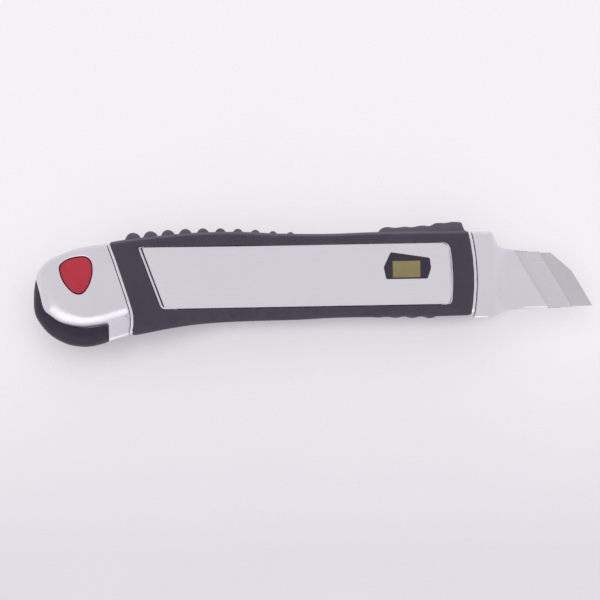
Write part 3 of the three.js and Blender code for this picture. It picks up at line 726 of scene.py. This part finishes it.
def rounded_box(x0, x1, y0, y1, radius, step=0.6):
    lines = [
        np.array([(x0 - 1, y0), (x1 + 1, y0)]), np.array([(x1, y0 - 1), (x1, y1 + 1)]),
        np.array([(x1 + 1, y1), (x0 - 1, y1)]), np.array([(x0, y1 + 1), (x0, y0 - 1)]),
    ]
    return outline(lines, [radius] * 4, step)


CASE_SCREWS = [(-46, 12.4), (-8, 11.9), (48, 11.7), (-55.2, -12.2)]
CAP_SCREWS = [(-83, -4.5), (-68.5, -4.5)]
window = panel_outline(0, 0, 0)
slider_well = rounded_box(-43, 47, -7.5, 7.5, 3)
screw_wells = [circle(x, y, 2.05) for x, y in CASE_SCREWS]
show_grip("grip_upper", grip([window]), ("upper_grip",))
show_grip("grip_lower", flipped(grip([slider_well, *screw_wells])), ("lower_grip",))

# ---- Handle: panel, its end rims and the label ---------------------------------------------------


def panel_face(points):
    """A very slight crown across the panel."""
    return PANEL_HIGH + 0.12 * (1 - ((points[:, 1] - 2.6) / 10.5) ** 2)


def panel_height(loop):
    return lambda points: panel_face(points) - rounding(gap(points, loop, closed=True), 0.35, 0.35)


panel_loop = panel_outline(
    REAR_RIM_WIDTH + REAR_RIM_GAP, FRONT_RIM_WIDTH + FRONT_RIM_GAP, -PANEL_SIDE_GAP
)
panel_body = relief(
    [panel_loop], panel_height(panel_loop), lambda p: np.full(len(p), GRIP_LINING_Z),
    rings=ring_steps(0.35, 4), cell=3.0,
)
show("panel", panel_body, "handle", PANEL, ("face_panel",))


def end_rim(path, widest):
    """The bright rim that follows the window's edge round its corners and thins out at each end."""
    s = lengths(path)
    width = widest * np.clip(np.minimum(s, s[-1] - s) / 2.6, 0.12, 1)
    tangent = np.gradient(path, axis=0)
    inner = path + turned(tangent / np.linalg.norm(tangent, axis=1)[:, None]) * width[:, None]
    loop = np.vstack([path, inner[::-1]])
    return relief(
        [loop], lambda p: 19.5 - rounding(gap(p, loop, closed=True), 0.3, 0.45),
        lambda p: np.full(len(p), 17.85), rings=ring_steps(0.3, 4), cell=2.0,
    )


rim_path = panel_outline(0.06, 0.06, -0.06, 0.35)
middle = int(np.argmin(np.abs(rim_path - (0, PANEL_BOTTOM_Y)).sum(1)))
rim_path = np.roll(rim_path, -middle, axis=0)
front_rim = rim_path[rim_path[:, 0] > 42.6]
rear_rim = rim_path[rim_path[:, 0] < -49.3 - 0.5 * rim_path[:, 1]]
show(
    "panel_rims", together(end_rim(front_rim, FRONT_RIM_WIDTH), end_rim(rear_rim, REAR_RIM_WIDTH)), "handle",
    SILVER,
)


def label_plate(points, radius, low, high):
    loop = outline(
        [np.array([points[i - 1], points[i]]) for i in range(len(points))],
        [radius] * len(points), 0.4,
    )
    return relief(
        [loop], lambda p: panel_face(p) + high - rounding(gap(p, loop, closed=True), 0.06, 0.05),
        lambda p: panel_face(p) + low, rings=(0.03, 0.06), cell=3.0,
    )


show("label", label_plate(LABEL_OUTLINE, 0.5, -0.05, 0.14), "handle", LABEL_DARK, ("panel_label",))
gold_field = [(26.6, 1.5), (35.8, 1.5), (35.8, 7.0), (26.6, 7.0)]
show("label_field", label_plate(gold_field, 0.25, 0.05, 0.19), "handle", LABEL_GOLD)

# ---- Nose ----------------------------------------------------------------------------------------


def bezier(a, b, c, d, count=14):
    t = np.linspace(0, 1, count)[:, None]
    a, b, c, d = (np.array(p, float) for p in (a, b, c, d))
    return (1 - t) ** 3 * a + 3 * t * (1 - t) ** 2 * b + 3 * t**2 * (1 - t) * c + t**3 * d


nose_top = np.vstack([
    [(90, TONGUE_HALF), (LOWER_TONGUE_X, TONGUE_HALF)],
    bezier((66.6, 10.25), (61.9, 10.6), (61.6, 12.0), (60.8, 13.9)),
    bezier((60.75, 14.0), (60.3, 15.6), (60.0, 16.4), (58.6, 16.4), 8),
    [(50, 16.4)],
])
nose_bottom = np.vstack([
    [(50, NOSE_BOTTOM_Y), (58.6, NOSE_BOTTOM_Y)],
    bezier((58.8, NOSE_BOTTOM_Y), (61.2, -12.2), (62.6, -10.4), (66, -9.95)),
    [(73.7, -TONGUE_HALF), (95, -TONGUE_HALF)],
])
nose_rear = front_arc(NOSE_REAR)[::-1]


def lean_line(spine_x):
    """The slant of the blade's score lines, through a point on the blade's spine."""
    return np.array([(spine_x + LEAN * (BLADE_HALF - y), y) for y in (-30.0, 30.0)])


nose_side = curve([
    (50, 18.4), (57.2, 18.4), (58.8, 18.1), (60.6, 16.8), (62.8, 14.3), (65.0, 12.1), (67.2, 10.7),
    (69.6, 9.9), (73, 9.6), (90, 9.2),
])


def nose_slope(x):
    """Side view of the nose: a flat face that sweeps down to the thin tongue."""
    return np.interp(x, nose_side[:, 0], nose_side[:, 1])


def nose_underside(x):
    return np.interp(x, [50, 57.5, 59, 60.5, 63, 65.5, 90], [2.2, 2.2, 2.45, 3.1, 4.1, 4.9, 4.9])


def slot_creases(end_x, setback):
    """Lines along both walls of the blade's slot, up to this far short of the slanted end."""
    creases = []
    for y in (-9.46, -9.42, 9.42, 9.46):
        last = end_x + LEAN * (BLADE_HALF - y) - setback
        creases.append(spaced(np.array([(56.5, y), (last, y)]), 2.0))
    return creases


def upper_nose_body():
    end = lean_line(UPPER_TONGUE_X)
    loop = outline([nose_bottom, end, nose_top, nose_rear], [0.9, 0.5, 0.5, 0.5], 0.5)

    def outer(points):
        height = nose_slope(points[:, 0])
        sides = rounding(np.minimum(gap(points, nose_top), gap(points, nose_bottom)), 1.1, 1.1)
        ends = rounding(np.minimum(gap(points, nose_rear), gap(points, end)), 0.3, 0.3)
        return height - (sides + ends) * np.clip((height - SPLIT) / 4, 0.25, 1)

    def inner(points):
        return np.where(np.abs(points[:, 1]) < SLOT_HALF, SLOT_CEILING, SPLIT)

    return relief(
        [loop], outer, inner, rings=ring_steps(1.1, 5), cell=1.1,
        under=slot_creases(UPPER_TONGUE_X, 1.8), rows=3,
    )


def lower_nose_body():
    """Made upside down, as every body is that is then flipped."""
    end = lean_line(LOWER_TONGUE_X)
    loop = outline([nose_bottom, end, nose_top, nose_rear], [0.1, 0.1, 0.5, 0.5], 0.5)

    def outer(points):
        sides = rounding(np.minimum(gap(points, nose_top), gap(points, nose_bottom)), 0.7, 0.7)
        return THICKNESS - nose_underside(points[:, 0]) - sides

    def inner(points):
        return THICKNESS - np.where(np.abs(points[:, 1]) < SLOT_HALF, SLOT_FLOOR, SPLIT)

    return relief(
        [loop], outer, inner, rings=ring_steps(0.7, 4), cell=1.4, under=slot_creases(LOWER_TONGUE_X, 0.4)
    )


nose_body = together(upper_nose_body(), flipped(lower_nose_body()))
show("nose", nose_body, "handle", SILVER, ("nose_block",))

# ---- Tail cap, bumper and release button ---------------------------------------------------------

tail_top = curve(TAIL_TOP)
tail_bottom = curve(TAIL_BOTTOM)
# Both lines have the span where they meet, so the first one's is left out.
tail_edge = np.vstack([tail_top[:-CURVE_STEPS - 1], tail_bottom])
foot = curve(SHOULDER_FOOT)
shoulder = curve(SHOULDER_TOP)
bumper_end = np.array([(BUMPER_FRONT_X, -8.0), (BUMPER_FRONT_X, -22.0)])
FAR = [(-56, -60), (-130, -60), (-130, 10)]


def button_outline(factor, step=0.35):
    centre = np.array(BUTTON_CENTRE)
    return spaced(centre + (curve(BUTTON_LINE, closed=True) - centre) * factor, step, closed=True)


def cap_face(openings):
    """A flat face, a shoulder that steepens down to the bumper, and a ledge ahead of the bumper."""

    def height(points):
        from_top = gap(points, shoulder)
        from_foot = gap(points, foot)
        share = np.where(beyond(points, shoulder, FAR), from_top / (from_top + from_foot + 1e-9), 0)
        past = beyond(points, foot, FAR)
        drop = SHOULDER_DROP * (0.32 * share + 0.46 * share**2 + 0.22 * share**4)
        drop = np.where(past, SHOULDER_DROP + 0.10 * from_foot, drop)
        side = np.where(points[:, 1] > LEDGE_TOP_Y, RIM_ROUND, LEDGE_ROUND)
        drop = drop + rounding(gap(points, tail_edge), side, 1.15 * side)
        drop = drop + rounding(gap(points, parting), 0.35, 0.35)
        for opening in openings:
            drop = drop + rounding(gap(points, opening, closed=True), 0.5, 0.4)
        return CAP_HIGH - drop

    return height


hollow = curve(CAP_HOLLOW)


def cap_inner(points):
    return np.where(inside(points, hollow), CAP_CEILING, SEAM)


cap_foot = foot + (0.05, 0.1)
cap_lines = [tail_top, cap_foot, bumper_end + (0.1, 0), tail_bottom, parting[::-1]]
cap_loop = outline(cap_lines, [0.4, 0.25, 0.5, 1.4, 0.6], 0.42)
hollow_line = spaced(hollow[(hollow[:, 0] < -67.5)], 1.2)
ledge_crease = spaced(foot[(foot[:, 0] > -67.6) & (foot[:, 0] < -62.6)], 0.6)


def cap(openings):
    return relief(
        [cap_loop, *[opening[::-1] for opening in openings]], cap_face(openings), cap_inner,
        rings=ring_steps(RIM_ROUND, 6), cell=0.8, creases=[ledge_crease],
        under=[hollow_line, hollow_line + (-0.05, 0)], rows=3,
    )


cap_wells = [circle(x, y, 1.85) for x, y in CAP_SCREWS]
show("cap_upper", cap([button_outline(1.01)]), "magazine", SILVER, ("tail_cap_upper",))
show("cap_lower", flipped(cap(cap_wells)), "magazine", SILVER, ("tail_cap_lower",))

bumper_loop = outline([tail_edge, bumper_end[::-1], foot[::-1]], [1.0, 0.6, 0.5], 0.45)


def bumper_face(points):
    outer = rounding(gap(points, tail_edge), 4.4, 5.2)
    inner = rounding(np.minimum(gap(points, foot), gap(points, bumper_end)), 0.4, 0.3)
    return BUMPER_HIGH - outer - inner


bumper_half = relief(
    [bumper_loop], bumper_face, lambda p: np.full(len(p), THICKNESS / 2), rings=ring_steps(4.4, 9), cell=1.0,
    rows=3,
)
show(
    "bumper", together(bumper_half, flipped(bumper_half)), "magazine", BUMPER,
    ("tail_bumper",),
)

button_loop = button_outline(0.965)


def button_face(points):
    """A soft crown that falls away to the tail, with a rounded edge."""
    away = points - np.array(BUTTON_CENTRE)
    return 19.7 - 0.004 * (away**2).sum(1) - rounding(gap(points, button_loop, closed=True), 0.7, 0.6)


show(
    "button", relief([button_loop], button_face, lambda p: np.full(len(p), 15.9),
                     rings=ring_steps(0.7, 4), cell=0.9, rows=2),
    "release", RED, ("release_button",),
)

# ---- Blades --------------------------------------------------------------------------------------


def blade_body(shift, low):
    """A scored blade with its cutting edge ground on both faces."""
    tail = BLADE_POINT_X - BLADE_LENGTH
    ground_rear = (tail + (BLADE_HALF - GROUND_Y) * LEAN - 0.003, GROUND_Y)
    ground_front = (92.35, GROUND_Y)
    loop = np.array([
        (tail + 2 * BLADE_HALF * LEAN, -BLADE_HALF), (BLADE_POINT_X, -BLADE_HALF), ground_front,
        (86.7, 2.8), (79.7, BLADE_HALF), (tail, BLADE_HALF), ground_rear,
    ]) + (shift, 0)
    hole = circle(4.2 + shift, 0, 2.75)
    creases = [np.array([ground_rear, ground_front]) + (shift, 0)]
    scores = []
    x = BLADE_POINT_X - 2 * BLADE_HALF * LEAN - SEGMENT
    while x > tail + SEGMENT:
        scores.append(np.array([(x, BLADE_HALF - 0.02), (x + 15.98 * LEAN, GROUND_Y + 0.02)]) + (shift, 0))
        x -= SEGMENT
    for line in scores:
        for offset in (-0.2, 0, 0.2):
            creases.append(spaced(line + (offset, 0), 2.0))

    def ground(points):
        return GROUND_DEPTH * np.clip((GROUND_Y - points[:, 1]) / (GROUND_Y + BLADE_HALF), 0, 1)

    def top(points):
        groove = np.zeros(len(points))
        for line in scores:
            share = np.clip(1 - gap(points, line) / SCORE_HALF_WIDTH, 0, 1)
            groove = np.maximum(groove, SCORE_DEPTH * share)
        return low + BLADE_THICKNESS - ground(points) - groove

    return relief(
        [loop, hole[::-1]], top, lambda p: low + ground(p), cell=2.5, creases=creases, under=creases[:1]
    )


show("working_blade", blade_body(0, BLADE_LOW), "slider", BLADE, ("blade",), crease=14)
for i in range(SPARE_COUNT):
    show(
        f"spare_{i + 1}", blade_body(SPARE_SHIFT, SPARE_LOW + i * SPARE_PITCH), "magazine",
        BLADE, (f"spare_blade_{i + 1}",), crease=14,
    )

# ---- The rest keep their CAD shapes, with broken edges -------------------------------------------

# Bent shading on the upper shell keeps the gap round the panel dark.
softened("upper_shell", "handle", SILVER, edge=0, flat=False)
softened("lower_shell", "handle", SILVER, edge=0)
softened("blade_channel", "handle", CHANNEL, edge=0.06)
softened("magazine_spring", "handle", SPRING, edge=0)
for i in range(len(CASE_SCREWS)):
    softened(f"case_screw_{i + 1}", "handle", ZINC_PLATE, edge=0.08)
softened("thumb_slider", "slider", BLACK_PLASTIC, edge=0.1)
softened("slider_carrier", "slider", GREY_PLASTIC)
softened("blade_pin", "slider", SPRING)
softened("lock_spring", "slider", SPRING, edge=0, pressed=(4.35, 1.0))
softened("lock_button", "lock", BLACK_PLASTIC, edge=0)
softened("lock_pawl", "lock", SPRING, edge=0.08)
softened("magazine_tray", "magazine", GREY_PLASTIC)
for i in range(len(CAP_SCREWS)):
    softened(f"cap_screw_{i + 1}", "magazine", ZINC_PLATE, edge=0.08)
softened("release_spring", "magazine", SPRING, edge=0, pressed=(12.7, 1.5))
softened("release_latch", "release", GREY_PLASTIC)

# ---- Floor, light and camera ---------------------------------------------------------------------

PAPER_GLOW = 2.7
# The shade of the knife on the paper: how far it reaches in metres by the raised tail and by the handle,
# how far it leans towards the window, how fast it fades, and its tint.
CONTACT_SHADE = (0.0145, 0.0059, 0.85, 2.55, (0.16, 0.14, 0.18))
BROAD_SHADE = (0.06, 0.06, 0.6, 1.0, (0.82, 0.81, 0.84))
SHADE_TAIL_X, SHADE_HANDLE_X = -0.066, -0.03  # metres, where the reach starts and stops changing
FAR_SHADE = (0.84, 0.83, 0.86)
FAR_SHADE_FROM_Y, FAR_SHADE_FULL_Y = -0.02, -0.09


def paper():
    """Pale paper lit from behind, shaded beside the knife and a little darker towards the front."""
    material = finish(
        "paper_floor", (0.238, 0.234, 0.242), (0.242, 0.238, 0.246), (0.75, 0.85), clouds=60, grain=0.5,
        depth=0.004, specular=0.2,
    )
    nodes, links = material.node_tree.nodes, material.node_tree.links
    shader = nodes["Principled BSDF"]
    colour = shader.inputs["Base Color"].links[0].from_socket

    def shaded(colour, amount, tint):
        mix = nodes.new("ShaderNodeMix")
        mix.data_type = "RGBA"
        mix.blend_type = "MULTIPLY"
        links.new(amount, mix.inputs[0])
        links.new(colour, mix.inputs[6])
        mix.inputs[7].default_value = (*tint, 1)
        return mix.outputs[2]

    place = nodes.new("ShaderNodeSeparateXYZ")
    links.new(nodes.new("ShaderNodeTexCoord").outputs["Object"], place.inputs["Vector"])
    for tail_reach, reach, lean, power, tint in (CONTACT_SHADE, BROAD_SHADE):
        towards = nodes.new("ShaderNodeCombineXYZ")
        towards.inputs["Y"].default_value = lean
        towards.inputs["Z"].default_value = math.sqrt(1 - lean**2)
        open_sky = nodes.new("ShaderNodeAmbientOcclusion")
        open_sky.samples = 12
        links.new(
            ranged(place.outputs["X"], SHADE_TAIL_X, SHADE_HANDLE_X, tail_reach, reach),
            open_sky.inputs["Distance"],
        )
        links.new(towards.outputs["Vector"], open_sky.inputs["Normal"])
        covered = nodes.new("ShaderNodeMath")
        covered.operation = "SUBTRACT"
        covered.inputs[0].default_value = 1.0
        links.new(open_sky.outputs["AO"], covered.inputs[1])
        depth = nodes.new("ShaderNodeMath")
        depth.operation = "POWER"
        links.new(covered.outputs[0], depth.inputs[0])
        depth.inputs[1].default_value = power
        colour = shaded(colour, depth.outputs[0], tint)
    far = ranged(place.outputs["Y"], FAR_SHADE_FROM_Y, FAR_SHADE_FULL_Y, 0.0, 1.0)
    colour = shaded(colour, far, FAR_SHADE)
    links.new(colour, shader.inputs["Base Color"])
    links.new(colour, shader.inputs["Emission Color"])
    shader.inputs["Emission Strength"].default_value = PAPER_GLOW
    return material


def add_floor():
    size = 3.0
    mesh = bpy.data.meshes.new("floor")
    corners = [(-size, -size, 0), (size, -size, 0), (size, size, 0), (-size, size, 0)]
    mesh.from_pydata([(x, y, z - 0.00002) for x, y, z in corners], [], [(0, 1, 2, 3)])
    mesh.materials.append(paper())
    floor = bpy.data.objects.new("floor", mesh)
    bpy.context.scene.collection.objects.link(floor)


def add_light(name, location, target, size, power, in_gloss=True, in_diffuse=True):
    data = bpy.data.lights.new(name, "AREA")
    data.shape = "RECTANGLE"
    data.size, data.size_y = size
    data.energy = power
    light = bpy.data.objects.new(name, data)
    bpy.context.scene.collection.objects.link(light)
    light.location = location
    light.rotation_mode = "QUATERNION"
    light.rotation_quaternion = (Vector(target) - Vector(location)).to_track_quat("-Z", "Y")
    light.visible_glossy = in_gloss
    light.visible_diffuse = in_diffuse


def add_world(colour, strength):
    world = bpy.data.worlds.new("studio")
    bpy.context.scene.world = world
    world.use_nodes = True
    background = world.node_tree.nodes["Background"]
    background.inputs["Color"].default_value = (*colour, 1)
    background.inputs["Strength"].default_value = strength


def add_camera(centre, height, width, roll):
    """Straight above the knife, framing a square of this width."""
    data = bpy.data.cameras.new("camera")
    data.sensor_width = 36
    data.lens = data.sensor_width * height / width
    data.clip_start = 0.01
    data.clip_end = 20
    camera = bpy.data.objects.new("camera", data)
    bpy.context.scene.collection.objects.link(camera)
    camera.location = (centre[0], centre[1], height + 0.018)
    camera.rotation_euler = (0, 0, roll)
    bpy.context.scene.camera = camera


add_floor()
add_world((0.985, 0.975, 1.0), 0.82)
add_light("window", (0.05, 0.5, 0.6), (0, 0, 0), (0.8, 0.5), 1.4, in_gloss=False)
add_light("front_card", (-0.25, -0.78, 0.43), (-0.05, 0, 0), (1.1, 0.7), 1.75, in_diffuse=False)
add_camera((-0.00447, -0.0054), 2.0, 0.2, -0.018)
bpy.context.scene.view_settings.view_transform = "Standard"
